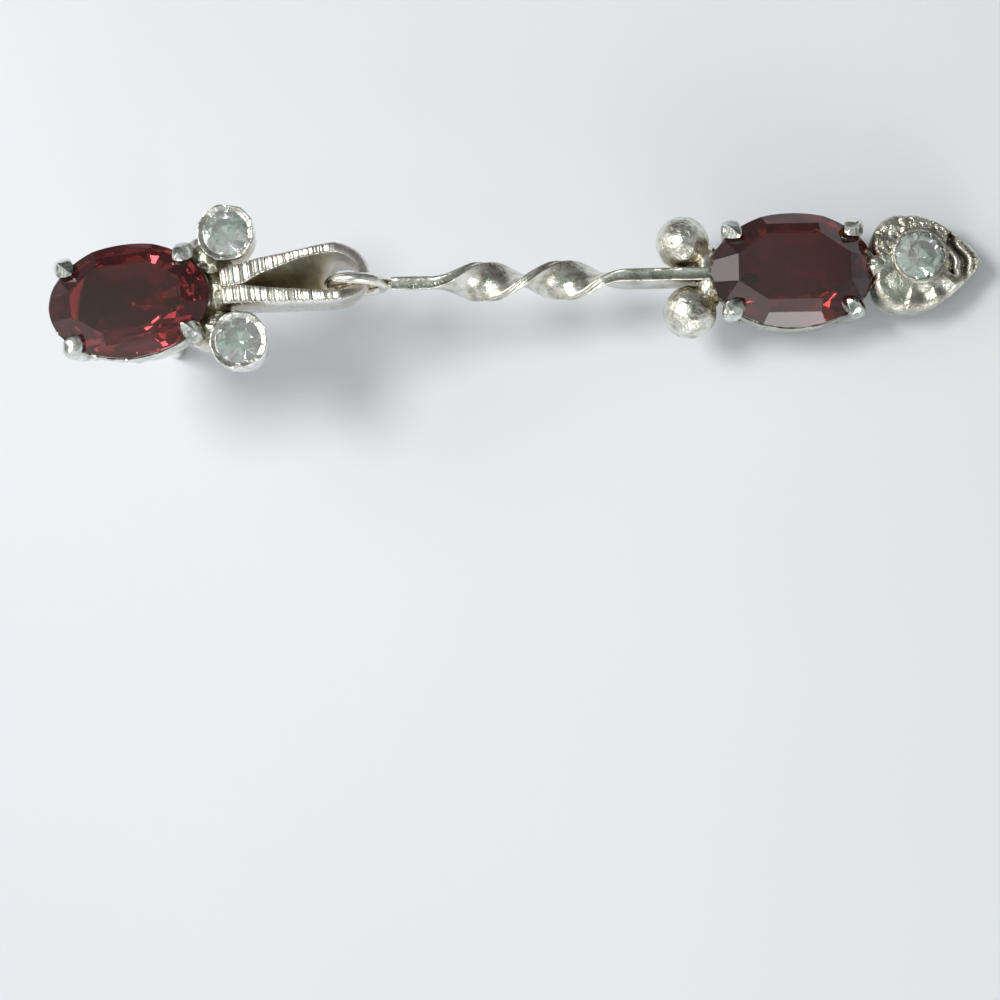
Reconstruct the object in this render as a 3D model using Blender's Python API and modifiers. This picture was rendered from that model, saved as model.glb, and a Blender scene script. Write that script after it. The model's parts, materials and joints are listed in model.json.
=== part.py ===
"""Stud earring with a drop, lying face up: two claw-set oval stones, three small round ones,
a teardrop loop, a twisted bar and a little heart. Metres, +Z up.

The earring is laid out flat, in one plane, with the feet of its claws at height 0 and X along the
drop. It is then pitched onto the end of its post and the feet of the drop's setting, as it rests."""
import math

import bmesh
import bpy
from mathutils import Matrix, Vector

# Oval stones
OVAL_LENGTH = 0.0070
OVAL_WIDTH = 0.0050
OVAL_CROWN = 0.00080
OVAL_PAVILION = 0.00200
OVAL_GIRDLE = 0.00008
OVAL_TABLE_SHARE = 0.62
# Round stones beside the stud's oval, and the one in the heart
SIDE_STONE_DIAMETER = 0.0021
HEART_STONE_DIAMETER = 0.0022
ROUND_TABLE_SHARE = 0.56
ROUND_CROWN_SHARE = 0.16
ROUND_PAVILION_SHARE = 0.42
ROUND_GIRDLE_SHARE = 0.03
# Heights above the plane of the claws' feet
GIRDLE_HEIGHT = 0.0030
MIDDLE_HEIGHT = 0.00195
BEZEL_RIM_HEIGHT = 0.00315
HEART_TOP_HEIGHT = 0.00335
# Oval settings
COLLET_BOTTOM_HEIGHT = 0.00045
COLLET_PROUD = 0.00005
COLLET_BOTTOM_INSET = 0.00032
COLLET_WALL = 0.00040
COLLET_DROP = 0.00012
CLAW_RADIUS = 0.00034
CLAW_TIP_RADIUS = 0.00043
CLAW_ANGLE = math.radians(43.0)
CLAW_TIP_HEIGHT = 0.00368
STONE_CLEARANCE = 0.00005
# How far a neck, a bridge or a plate runs into what it is soldered to
JOINT_OVERLAP = 0.00020
PLATE_RECESS = 0.00005
# Bezels
BEZEL_DIAMETER = 0.00262
BEZEL_BOTTOM_HEIGHT = 0.00150
BEZEL_TAPER = 0.00018
BEZEL_LIP = 0.00007
BEZEL_BORE_SHARE = 0.30
SIDE_BEZEL_X = 0.00450
SIDE_BEZEL_Y = 0.00240
# Solder between the stud's setting, its bezels and its loop
SOLDER_LENGTH = 0.0024
SOLDER_WIDTH = 0.0020
SOLDER_DEPTH = 0.0016
# Post behind the stud
POST_DIAMETER = 0.00090
POST_LENGTH = 0.00800
POST_PLATE_THICKNESS = 0.00050
# Teardrop loop of flat strip, standing on edge
LOOP_START_X = 0.00370
LOOP_CROTCH_X = 0.00500
LOOP_ROUND_X = 0.00917
LOOP_ROUND_RADIUS = 0.00130
LOOP_START_HALF_WIDTH = 0.00078
LOOP_WALL = 0.00050
LOOP_BOTTOM_HEIGHT = 0.00040
LOOP_UNDER_SHARE = 0.82
LOOP_TOP_HEIGHT = 0.00330
LOOP_END_DEPTH = 0.00090
LOOP_SLOPE_LENGTH = 0.00130
LINE_SPACING = 0.00024
LINE_WIDTH = 0.00010
LINE_DEPTH = 0.00008
# Ring of the drop, through the loop
RING_WIRE_DIAMETER = 0.00054
RING_RADIUS = 0.00118
RING_X_IN_STUD = 0.00982
RING_Y_IN_STUD = -0.00041
STUD_YAW = math.radians(7.0)
NECK_DIAMETER = 0.00046
# Twisted bar
STRIP_WIDTH = 0.00175
STRIP_THICKNESS = 0.00056
STRIP_START_X = 0.00155
STRIP_START_LEAN = math.radians(13.0)
TWIST_START_X = 0.00315
TWIST_END_X = 0.01170
TWIST_ANGLE = math.radians(-360.0)
TWIST_EASE_SHARE = 0.17
# Balls, setting and heart of the drop
BALL_DIAMETER = 0.00234
DROP_STONE_X = 0.01884
STRIP_END_GAP = 0.00004
BALL_SETBACK = 0.00096
BALL_Y = 0.00154
BALL_STAGGER = 0.00012
SADDLE_LENGTH = 0.00120
SADDLE_WIDTH = 0.00300
SADDLE_DEPTH = 0.00150
HEART_Y = 0.00022
HEART_GAP = 0.00036
HEART_LENGTH = 0.00422
HEART_LOBE_SETBACK = 0.00076
HEART_HALF_WIDTH = 0.00210
HEART_LOBE_RADIUS = 0.00120
HEART_RIM_DIAMETER = 0.00252
HEART_RIM_HEIGHT = 0.00012
HEART_GROOVES = 4
HEART_GROOVE_PITCH = 0.00036
HEART_GROOVE_WIDTH = 0.00014
HEART_GROOVE_DEPTH = 0.00016
HEART_GROOVE_SLANT = math.radians(20.0)
HEART_THICKNESS = 0.00165
HEART_EDGE = 0.00022
HEART_STONE_SETBACK = 0.00154
HEART_STONE_RISE = 0.00024
HEART_BRIDGE_DIAMETER = 0.00150

# Places along the drop that follow from the sizes above
STRIP_END_X = DROP_STONE_X - OVAL_LENGTH / 2.0 - STRIP_END_GAP
BALL_X = STRIP_END_X - BALL_SETBACK
HEART_CLEFT_X = DROP_STONE_X + OVAL_LENGTH / 2.0 + HEART_GAP
HEART_LOBE_X = HEART_CLEFT_X + HEART_LOBE_SETBACK
HEART_TIP_X = HEART_CLEFT_X + HEART_LENGTH
HEART_STONE_X = HEART_CLEFT_X + HEART_STONE_SETBACK
HEART_STONE_Y = HEART_Y + HEART_STONE_RISE

# Turns that keep the corners of round shapes from meeting those of their neighbours
BALL_TURN = math.radians(21.0)
BEZEL_TURN = math.radians(4.0)
CLAW_TURN = math.radians(7.0)
NECK_TURN = math.radians(11.0)

SILVER = (0.80, 0.78, 0.73)
DARK_RED = (0.16, 0.03, 0.03)
CLEAR = (0.78, 0.86, 0.83)


def start_scene():
    for old in list(bpy.data.objects):
        bpy.data.objects.remove(old, do_unlink=True)
    groups = []
    for name in ("stud_earring", "cutters"):
        group = bpy.data.collections.new(name)
        bpy.context.scene.collection.children.link(group)
        groups.append(group)
    return groups


def make_material(name, colour, metallic, roughness):
    material = bpy.data.materials.new(name)
    material.use_nodes = True
    shader = material.node_tree.nodes["Principled BSDF"]
    shader.inputs["Base Color"].default_value = (*colour, 1.0)
    shader.inputs["Metallic"].default_value = metallic
    shader.inputs["Roughness"].default_value = roughness
    return material


def add_object(name, mesh, group, parent, material=None):
    thing = bpy.data.objects.new(name, mesh)
    group.objects.link(thing)
    thing.parent = parent
    if material is not None:
        mesh.materials.clear()
        mesh.materials.append(material)
    return thing


def add_piece(name, mesh, parent, place=(0.0, 0.0, 0.0)):
    """A shape that is joined to or cut from another: kept as a wire in the cutters' collection."""
    piece = add_object(name, mesh, CUTTERS, parent)
    piece.location = place
    piece.hide_render = True
    piece.display_type = "WIRE"
    return piece


def baked(thing):
    """The evaluated mesh of an object that is then removed, with its loose caps welded."""
    bpy.context.view_layer.update()
    graph = bpy.context.evaluated_depsgraph_get()
    mesh = bpy.data.meshes.new_from_object(thing.evaluated_get(graph))
    bpy.data.objects.remove(thing, do_unlink=True)
    form = bmesh.new()
    form.from_mesh(mesh)
    bmesh.ops.remove_doubles(form, verts=form.verts, dist=1e-7)
    bmesh.ops.recalc_face_normals(form, faces=form.faces)
    form.to_mesh(mesh)
    form.free()
    return mesh


def from_bmesh(name, form):
    mesh = bpy.data.meshes.new(name)
    bmesh.ops.recalc_face_normals(form, faces=form.faces)
    form.to_mesh(mesh)
    form.free()
    return mesh


def turned(name, profile, sides, closed, stretch=1.0):
    """Points of (radius, height) turned about Z, then stretched along X to an oval."""
    mesh = bpy.data.meshes.new(name)
    points = [(radius, 0.0, height) for radius, height in profile]
    edges = [(index, index + 1) for index in range(len(points) - 1)]
    if closed:
        edges.append((len(points) - 1, 0))
    mesh.from_pydata(points, edges, [])
    thing = add_object(name, mesh, CUTTERS, None)
    screw = thing.modifiers.new("turn", "SCREW")
    screw.steps = sides
    screw.render_steps = sides
    screw.use_merge_vertices = True
    screw.merge_threshold = 1e-6
    solid = baked(thing)
    solid.transform(Matrix.Diagonal((stretch, 1.0, 1.0, 1.0)))
    return solid


def extruded(name, outlines, bottom, top, edge=0.0):
    """Closed outlines of (x, y), filled and extruded from one height to another."""
    curve = bpy.data.curves.new(name, "CURVE")
    curve.dimensions = "2D"
    curve.fill_mode = "BOTH"
    curve.extrude = (top - bottom) / 2.0 - edge
    curve.bevel_depth = edge
    curve.bevel_resolution = 1
    curve.offset = -edge
    for outline in outlines:
        spline = curve.splines.new("POLY")
        spline.points.add(len(outline) - 1)
        for point, (x, y) in zip(spline.points, outline):
            point.co = (x, y, 0.0, 1.0)
        spline.use_cyclic_u = True
    solid = baked(add_object(name, curve, CUTTERS, None))
    solid.transform(Matrix.Translation((0.0, 0.0, (top + bottom) / 2.0)))
    return solid


def wire(name, points, radii, closed=False, resolution=1, turn=0.0):
    """A round wire through points, with a radius at each, its sides turned about it."""
    curve = bpy.data.curves.new(name, "CURVE")
    curve.dimensions = "3D"
    curve.bevel_depth = 1.0
    curve.bevel_resolution = resolution
    curve.use_fill_caps = True
    spline = curve.splines.new("POLY")
    spline.points.add(len(points) - 1)
    for point, place, radius in zip(spline.points, points, radii):
        point.co = (*place, 1.0)
        point.radius = radius
        point.tilt = turn
    spline.use_cyclic_u = closed
    return baked(add_object(name, curve, CUTTERS, None))


def block(name, size):
    form = bmesh.new()
    bmesh.ops.create_cube(form, size=1.0)
    bmesh.ops.scale(form, vec=size, verts=form.verts)
    return from_bmesh(name, form)


def ball(name, size, segments=20, rings=12):
    form = bmesh.new()
    bmesh.ops.create_uvsphere(form, u_segments=segments, v_segments=rings, radius=0.5)
    off_axis = Matrix.Rotation(BALL_TURN, 3, Vector((1.0, 2.0, 3.0)))
    bmesh.ops.rotate(form, matrix=off_axis, verts=form.verts)
    bmesh.ops.scale(form, vec=size, verts=form.verts)
    return from_bmesh(name, form)


def rod(name, diameter, length, sides=16):
    form = bmesh.new()
    bmesh.ops.create_cone(form, cap_ends=True, segments=sides, radius1=diameter / 2.0,
                          radius2=diameter / 2.0, depth=length)
    return from_bmesh(name, form)


def join(body, piece):
    union = body.modifiers.new("join " + piece.name, "BOOLEAN")
    union.operation = "UNION"
    union.object = piece


def cut(body, piece):
    difference = body.modifiers.new("cut " + piece.name, "BOOLEAN")
    difference.operation = "DIFFERENCE"
    difference.object = piece


def brilliant(name, length, width, crown, pavilion, girdle, table_share, grow=0.0):
    """A faceted oval or round stone about its girdle's middle: the hull of its corners. The
    table has 8 corners, then come star, kite and girdle facets, and 8 mains below."""
    form = bmesh.new()
    half_length = length / 2.0 + grow
    half_width = width / 2.0 + grow

    def corner(share, angle, height):
        form.verts.new((half_length * share * math.cos(angle), half_width * share * math.sin(angle), height))

    half_girdle = girdle / 2.0 + grow * 0.5
    top = girdle / 2.0 + crown + grow
    bottom = girdle / 2.0 + pavilion + grow
    step = math.tau / 8.0
    kite_share = (1.0 + table_share) / 2.0
    kite_height = girdle / 2.0 + grow * 0.75 + crown * 0.60
    half_share = 0.45
    half_height = girdle / 2.0 + grow * 0.75 + pavilion * 0.62
    for index in range(8):
        corner(table_share, (index + 0.5) * step, top)
        corner(kite_share, index * step, kite_height)
        corner(half_share, (index + 0.5) * step, -half_height)
    for index in range(32):
        corner(1.0, index * step / 4.0, half_girdle)
        corner(1.0, index * step / 4.0, -half_girdle)
    form.verts.new((0.0, 0.0, -bottom))
    bmesh.ops.convex_hull(form, input=form.verts)
    return from_bmesh(name, form)


def oval_stone(name, grow=0.0):
    return brilliant(name, OVAL_LENGTH, OVAL_WIDTH, OVAL_CROWN, OVAL_PAVILION, OVAL_GIRDLE,
                     OVAL_TABLE_SHARE, grow)


def round_stone(name, diameter, grow=0.0):
    return brilliant(name, diameter, diameter, diameter * ROUND_CROWN_SHARE, diameter * ROUND_PAVILION_SHARE,
                     diameter * ROUND_GIRDLE_SHARE, ROUND_TABLE_SHARE, grow)


def collet(name):
    """The oval wall below the stone, narrower at its base, with a sloping seat inside."""
    half = OVAL_WIDTH / 2.0 + COLLET_PROUD
    top = GIRDLE_HEIGHT - COLLET_DROP
    seat = top - COLLET_WALL
    base = half - COLLET_BOTTOM_INSET
    profile = [
        (half - COLLET_WALL, top),
        (half, top),
        (half, seat),
        (base, COLLET_BOTTOM_HEIGHT),
        (base - COLLET_WALL, COLLET_BOTTOM_HEIGHT),
    ]
    stretch = (OVAL_LENGTH / 2.0 + COLLET_PROUD) / half
    return turned(name, profile, 40, True, stretch)


def claw_points(along, across):
    """From the foot up the wall, past the stone's edge and over onto its crown."""
    cosine = math.cos(CLAW_ANGLE) * along
    sine = math.sin(CLAW_ANGLE) * across
    half_length = OVAL_LENGTH / 2.0
    half_width = OVAL_WIDTH / 2.0
    rows = [
        (-CLAW_RADIUS * 1.15, 0.0, CLAW_RADIUS * 0.92),
        (CLAW_RADIUS * 0.40, GIRDLE_HEIGHT * 0.80, CLAW_RADIUS),
        (CLAW_RADIUS * 0.45, GIRDLE_HEIGHT + OVAL_CROWN * 0.20, CLAW_TIP_RADIUS * 0.94),
        (-CLAW_RADIUS * 0.20, CLAW_TIP_HEIGHT - OVAL_CROWN * 0.32, CLAW_TIP_RADIUS),
        (-CLAW_RADIUS * 1.00, CLAW_TIP_HEIGHT, CLAW_TIP_RADIUS * 0.25),
    ]
    points = []
    radii = []
    for out, height, radius in rows:
        points.append(((half_length + out) * cosine, (half_width + out) * sine, height))
        radii.append(radius)
    return points, radii


def join_claws(body, parent, centre_x):
    for number, (along, across) in enumerate(((-1, 1), (1, 1), (1, -1), (-1, -1))):
        points, radii = claw_points(along, across)
        mesh = wire("claw", points, radii, turn=CLAW_TURN * (number + 1))
        claw = add_piece(f"{body.name}_claw_{number + 1}", mesh, parent, (centre_x, 0.0, 0.0))
        join(body, claw)


def cut_seat(body, parent, centre_x):
    seat = add_piece(body.name + "_oval_seat", oval_stone("oval_seat", STONE_CLEARANCE), parent,
                     (centre_x, 0.0, GIRDLE_HEIGHT))
    cut(body, seat)


def bezel(name, outer, stone, bottom, top, sides=20):
    """A short tube around a round stone, open below it, with a seat under the stone."""
    lip = stone / 2.0 - BEZEL_LIP
    bore = stone * BEZEL_BORE_SHARE
    profile = [
        (lip, top),
        (outer / 2.0, top - BEZEL_LIP),
        (outer / 2.0 - BEZEL_TAPER, bottom),
        (bore, bottom),
        (bore, (top + bottom) / 2.0),
    ]
    tube = turned(name, profile, sides, True)
    tube.transform(Matrix.Rotation(BEZEL_TURN, 4, "Z"))
    return tube


def stone_level(rim_height, stone):
    """The height of a round stone's girdle, whose table stands at its bezel's rim."""
    return rim_height - stone * (ROUND_CROWN_SHARE * 0.55 + ROUND_GIRDLE_SHARE / 2.0)


def loop_outlines():
    """The teardrop's outer and inner outlines: straight arms that run onto a round end."""
    outer = [(LOOP_START_X, -LOOP_START_HALF_WIDTH)]
    inner = [(LOOP_CROTCH_X, 0.0)]
    inner_radius = LOOP_ROUND_RADIUS - LOOP_WALL
    spread = math.asin((LOOP_ROUND_RADIUS - LOOP_START_HALF_WIDTH) / (LOOP_ROUND_X - LOOP_START_X))
    inner_spread = math.asin(inner_radius / (LOOP_ROUND_X - LOOP_CROTCH_X))
    steps = 20
    for index in range(steps + 1):
        share = index / steps * 2.0 - 1.0
        angle = share * (math.pi / 2.0 + spread)
        outer.append((LOOP_ROUND_X + LOOP_ROUND_RADIUS * math.cos(angle), LOOP_ROUND_RADIUS * math.sin(angle)))
        angle = share * (math.pi / 2.0 + inner_spread)
        inner.append((LOOP_ROUND_X + inner_radius * math.cos(angle), inner_radius * math.sin(angle)))
    outer.append((LOOP_START_X, LOOP_START_HALF_WIDTH))
    return outer, inner


def engraving():
    """Fine lines across the whole loop, a little unevenly spaced, as a row of square bars."""
    form = bmesh.new()
    first = LOOP_START_X + LINE_SPACING
    last = LOOP_ROUND_X - LINE_SPACING
    count = int((last - first) / LINE_SPACING)
    for index in range(count + 1):
        wander = math.sin(index * 2.4) * LINE_SPACING * 0.16
        x = first + (last - first) * index / count + wander
        bar = bmesh.ops.create_cube(form, size=1.0)["verts"]
        bmesh.ops.scale(form, vec=(LINE_WIDTH, LOOP_ROUND_RADIUS * 3.0, LINE_DEPTH * 2.0), verts=bar)
        bmesh.ops.translate(form, vec=(x, 0.0, 0.0), verts=bar)
    return from_bmesh("engraving", form)


def make_loop(parent):
    """The strip loop, narrower underneath, cut with fine lines across its top, and thinned above
    and below at its round end, where the ring hangs."""
    outer, inner = loop_outlines()
    mesh = extruded("loop", (outer, inner), LOOP_BOTTOM_HEIGHT, LOOP_TOP_HEIGHT)
    for vertex in mesh.vertices:
        depth_share = (LOOP_TOP_HEIGHT - vertex.co.z) / (LOOP_TOP_HEIGHT - LOOP_BOTTOM_HEIGHT)
        vertex.co.y *= 1.0 - (1.0 - LOOP_UNDER_SHARE) * depth_share
    loop = add_piece("stud_frame_loop", mesh, parent)
    end_x = LOOP_ROUND_X + LOOP_ROUND_RADIUS
    for side, level in ((1, LOOP_TOP_HEIGHT), (-1, LOOP_BOTTOM_HEIGHT)):
        drop = abs(level - MIDDLE_HEIGHT) - LOOP_END_DEPTH / 2.0
        slope = math.atan2(drop, LOOP_SLOPE_LENGTH)
        size = LOOP_ROUND_RADIUS * 4.0
        wedge = add_piece(f"loop_wedge_{'top' if side > 0 else 'under'}", block("wedge", (size, size, size)), parent)
        corner = Vector((end_x, 0.0, MIDDLE_HEIGHT + side * LOOP_END_DEPTH / 2.0))
        outward = Vector((math.sin(slope), 0.0, side * math.cos(slope)))
        wedge.location = corner + outward * size / 2.0
        wedge.rotation_euler = (0.0, side * slope, 0.0)
        cut(loop, wedge)
    cut(loop, add_piece("loop_engraving", engraving(), parent, (0.0, 0.0, LOOP_TOP_HEIGHT)))
    return loop


def make_stud_frame(parent):
    body = add_object("stud_frame", collet("stud_collet"), PARTS, parent, SILVER_METAL)
    join_claws(body, parent, 0.0)
    plate_height = COLLET_BOTTOM_HEIGHT + PLATE_RECESS + POST_PLATE_THICKNESS / 2.0
    plate_diameter = OVAL_WIDTH + 2.0 * COLLET_PROUD - 2.0 * COLLET_BOTTOM_INSET - COLLET_WALL
    plate = rod("plate", plate_diameter, POST_PLATE_THICKNESS, 24)
    join(body, add_piece("stud_frame_post_plate", plate, parent, (0.0, 0.0, plate_height)))
    post = rod("post", POST_DIAMETER, POST_LENGTH + plate_height)
    post_middle = (plate_height - POST_LENGTH) / 2.0
    join(body, add_piece("stud_frame_post", post, parent, (0.0, 0.0, post_middle)))
    join(body, make_loop(parent))
    solder = ball("solder", (SOLDER_LENGTH * 0.7, SOLDER_WIDTH, SOLDER_DEPTH))
    join(body, add_piece("stud_frame_middle_solder", solder, parent, (LOOP_START_X, 0.0, MIDDLE_HEIGHT)))
    for name, side in (("upper", 1), ("lower", -1)):
        solder = ball("solder", (SOLDER_LENGTH, SOLDER_WIDTH, SOLDER_DEPTH))
        join(body, add_piece(f"stud_frame_{name}_solder", solder, parent,
                             (SIDE_BEZEL_X - SOLDER_LENGTH * 0.45, side * SIDE_BEZEL_Y * 0.66, MIDDLE_HEIGHT)))
        tube = bezel("bezel", BEZEL_DIAMETER, SIDE_STONE_DIAMETER, BEZEL_BOTTOM_HEIGHT, BEZEL_RIM_HEIGHT)
        place = (SIDE_BEZEL_X, side * SIDE_BEZEL_Y, 0.0)
        join(body, add_piece(f"stud_frame_{name}_bezel", tube, parent, place))
        seat = round_stone("round_seat", SIDE_STONE_DIAMETER, STONE_CLEARANCE)
        level = stone_level(BEZEL_RIM_HEIGHT, SIDE_STONE_DIAMETER)
        cut(body, add_piece(f"stud_frame_{name}_seat", seat, parent, (place[0], place[1], level)))
    cut_seat(body, parent, 0.0)
    return body


def twist_share(share):
    """How much of the turn is done at a share of the twisted length, with eased ends."""
    ease = TWIST_EASE_SHARE
    full = 1.0 - ease
    if share < ease:
        return share * share / (2.0 * ease) / full
    if share > 1.0 - ease:
        return 1.0 - (1.0 - share) ** 2 / (2.0 * ease) / full
    return (share - ease / 2.0) / full


def make_strip(parent):
    """The flat strip, on edge at both ends and turned once about its own axis between them."""
    profile = bpy.data.curves.new("strip_section", "CURVE")
    profile.dimensions = "2D"
    section = profile.splines.new("POLY")
    section.points.add(3)
    corners = ((1, 1), (-1, 1), (-1, -1), (1, -1))
    for point, (across, up) in zip(section.points, corners):
        point.co = (across * STRIP_THICKNESS / 2.0, up * STRIP_WIDTH / 2.0, 0.0, 1.0)
    section.use_cyclic_u = True
    section_object = add_object("strip_section", profile, CUTTERS, None)
    steps = 48
    stations = [(STRIP_START_X, STRIP_START_LEAN)]
    for index in range(steps + 1):
        share = index / steps
        x = TWIST_START_X + (TWIST_END_X - TWIST_START_X) * share
        stations.append((x, STRIP_START_LEAN + (TWIST_ANGLE - STRIP_START_LEAN) * twist_share(share)))
    stations.append((STRIP_END_X, TWIST_ANGLE))
    curve = bpy.data.curves.new("strip", "CURVE")
    curve.dimensions = "3D"
    curve.twist_mode = "Z_UP"
    curve.bevel_mode = "OBJECT"
    curve.bevel_object = section_object
    curve.use_fill_caps = True
    spline = curve.splines.new("POLY")
    spline.points.add(len(stations) - 1)
    for point, (x, angle) in zip(spline.points, stations):
        point.co = (x, 0.0, MIDDLE_HEIGHT, 1.0)
        point.tilt = angle
    mesh = baked(add_object("strip", curve, CUTTERS, None))
    bpy.data.objects.remove(section_object, do_unlink=True)
    return add_piece("drop_frame_strip", mesh, parent)


def make_ring():
    """The closed ring, standing in the plane of the drop's axis and its thickness."""
    points = []
    sides = 28
    for index in range(sides):
        angle = math.tau * index / sides
        points.append((RING_RADIUS * math.cos(angle), 0.0, RING_RADIUS * math.sin(angle)))
    return wire("ring", points, [RING_WIRE_DIAMETER / 2.0] * sides, closed=True)


def heart_outline():
    """Two round lobes toward the setting, a cleft between them, and curved sides to the tip."""
    half = HEART_HALF_WIDTH
    centre_y = half - HEART_LOBE_RADIUS
    points = [(HEART_TIP_X, 0.0)]
    steps = 9
    lobe_end_x = HEART_LOBE_X + HEART_LOBE_RADIUS * 0.35
    for index in range(1, steps):
        share = index / steps
        x = HEART_TIP_X + (lobe_end_x - HEART_TIP_X) * share
        points.append((x, half * math.sin(share * math.pi / 2.0) ** 0.85))
    for index in range(steps + 1):
        angle = math.radians(75.0 + (200.0 - 75.0) * index / steps)
        points.append((HEART_LOBE_X + HEART_LOBE_RADIUS * math.cos(angle),
                       centre_y + HEART_LOBE_RADIUS * math.sin(angle)))
    points.append((HEART_CLEFT_X, 0.0))
    return points + [(x, -y) for x, y in reversed(points[1:-1])]


def heart_grooves():
    """Short slanting cuts across the top of the heart's point."""
    form = bmesh.new()
    for index in range(HEART_GROOVES):
        x = HEART_TIP_X - HEART_GROOVE_PITCH * (index + 0.9)
        bar = bmesh.ops.create_cube(form, size=1.0)["verts"]
        bmesh.ops.scale(form, vec=(HEART_GROOVE_WIDTH, HEART_HALF_WIDTH * 2.0, HEART_GROOVE_DEPTH * 2.0), verts=bar)
        bmesh.ops.rotate(form, matrix=Matrix.Rotation(HEART_GROOVE_SLANT, 3, "Z"), verts=bar)
        bmesh.ops.translate(form, vec=(x, 0.0, 0.0), verts=bar)
    return from_bmesh("grooves", form)


def make_drop_frame(parent):
    body = add_object("drop_frame", collet("drop_collet"), PARTS, parent, SILVER_METAL)
    body.location = (DROP_STONE_X, 0.0, 0.0)
    join_claws(body, parent, DROP_STONE_X)
    join(body, add_piece("drop_frame_ring", make_ring(), parent, (0.0, 0.0, MIDDLE_HEIGHT)))
    neck_start = RING_RADIUS - RING_WIRE_DIAMETER * 0.15
    neck_end = STRIP_START_X + JOINT_OVERLAP
    neck = wire("neck", [(neck_start, 0.0, MIDDLE_HEIGHT), (neck_end, 0.0, MIDDLE_HEIGHT)],
                [NECK_DIAMETER / 2.0] * 2, turn=NECK_TURN)
    join(body, add_piece("drop_frame_neck", neck, parent))
    join(body, make_strip(parent))
    saddle = ball("saddle", (SADDLE_LENGTH, SADDLE_WIDTH, SADDLE_DEPTH))
    join(body, add_piece("drop_frame_saddle", saddle, parent, (STRIP_END_X, 0.0, MIDDLE_HEIGHT)))
    for name, side in (("upper", 1), ("lower", -1)):
        bead = ball("bead", (BALL_DIAMETER, BALL_DIAMETER, BALL_DIAMETER))
        join(body, add_piece(f"drop_frame_{name}_ball", bead, parent,
                             (BALL_X - side * BALL_STAGGER, side * BALL_Y, MIDDLE_HEIGHT)))
    bottom = HEART_TOP_HEIGHT - HEART_THICKNESS
    heart = extruded("heart", [heart_outline()], bottom, HEART_TOP_HEIGHT, HEART_EDGE)
    join(body, add_piece("drop_frame_heart", heart, parent, (0.0, HEART_Y, 0.0)))
    rim = rod("rim", HEART_RIM_DIAMETER, HEART_RIM_HEIGHT * 2.0, 24)
    join(body, add_piece("drop_frame_heart_rim", rim, parent, (HEART_STONE_X, HEART_STONE_Y, HEART_TOP_HEIGHT)))
    bridge_middle = (DROP_STONE_X + OVAL_LENGTH / 2.0 + HEART_CLEFT_X) / 2.0
    bridge_length = HEART_STONE_X - HEART_STONE_DIAMETER / 2.0 - DROP_STONE_X - OVAL_LENGTH / 2.0 + COLLET_WALL
    bridge = ball("bridge", (bridge_length + JOINT_OVERLAP * 2.0, HEART_BRIDGE_DIAMETER, HEART_BRIDGE_DIAMETER))
    join(body, add_piece("drop_frame_bridge", bridge, parent,
                         (bridge_middle, HEART_Y / 2.0, bottom + HEART_THICKNESS / 2.0)))
    cut(body, add_piece("drop_frame_heart_grooves", heart_grooves(), parent, (0.0, HEART_Y, HEART_TOP_HEIGHT)))
    bore = rod("bore", HEART_STONE_DIAMETER * BEZEL_BORE_SHARE * 2.0, HEART_THICKNESS * 2.0, 20)
    cut(body, add_piece("drop_frame_heart_bore", bore, parent, (HEART_STONE_X, HEART_STONE_Y, bottom)))
    seat = round_stone("round_seat", HEART_STONE_DIAMETER, STONE_CLEARANCE)
    level = stone_level(HEART_TOP_HEIGHT + HEART_RIM_HEIGHT, HEART_STONE_DIAMETER)
    cut(body, add_piece("drop_frame_heart_seat", seat, parent, (HEART_STONE_X, HEART_STONE_Y, level)))
    cut_seat(body, parent, DROP_STONE_X)
    return body


def add_stone(name, mesh, parent, place, material):
    stone = add_object(name, mesh, PARTS, parent, material)
    stone.location = place
    return stone


def add_empty(name, parent):
    empty = bpy.data.objects.new(name, None)
    PARTS.objects.link(empty)
    empty.parent = parent
    return empty


def lay_down(earring, stud_x):
    """Pitches the earring onto its post's end and the drop's claw feet, then stands the middle
    of its box at the origin."""
    points, radii = claw_points(1, 1)
    foot_x = DROP_STONE_X + points[0][0] + radii[0]
    tip_x = stud_x + POST_DIAMETER / 2.0
    earring.rotation_euler = (0.0, math.atan2(POST_LENGTH, foot_x - tip_x), 0.0)
    bpy.context.view_layer.update()
    graph = bpy.context.evaluated_depsgraph_get()
    corners = []
    for part in PARTS.objects:
        if part.type == "MESH":
            mesh = part.evaluated_get(graph).data
            corners.extend(part.matrix_world @ vertex.co for vertex in mesh.vertices)
    low = Vector([min(corner[axis] for corner in corners) for axis in range(3)])
    high = Vector([max(corner[axis] for corner in corners) for axis in range(3)])
    earring.location = (-(low.x + high.x) / 2.0, -(low.y + high.y) / 2.0, -low.z)


PARTS, CUTTERS = start_scene()
SILVER_METAL = make_material("silver", SILVER, 1.0, 0.25)
GARNET = make_material("garnet", DARK_RED, 0.0, 0.05)
CLEAR_STONE = make_material("clear stone", CLEAR, 0.0, 0.03)

EARRING = add_empty("earring", None)
STUD = add_empty("stud", EARRING)
DROP = add_empty("drop", EARRING)
STUD.rotation_euler = (0.0, 0.0, STUD_YAW)
RING_IN_STUD = Matrix.Rotation(STUD_YAW, 3, "Z") @ Vector((RING_X_IN_STUD, RING_Y_IN_STUD, 0.0))
STUD.location = -RING_IN_STUD

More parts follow.
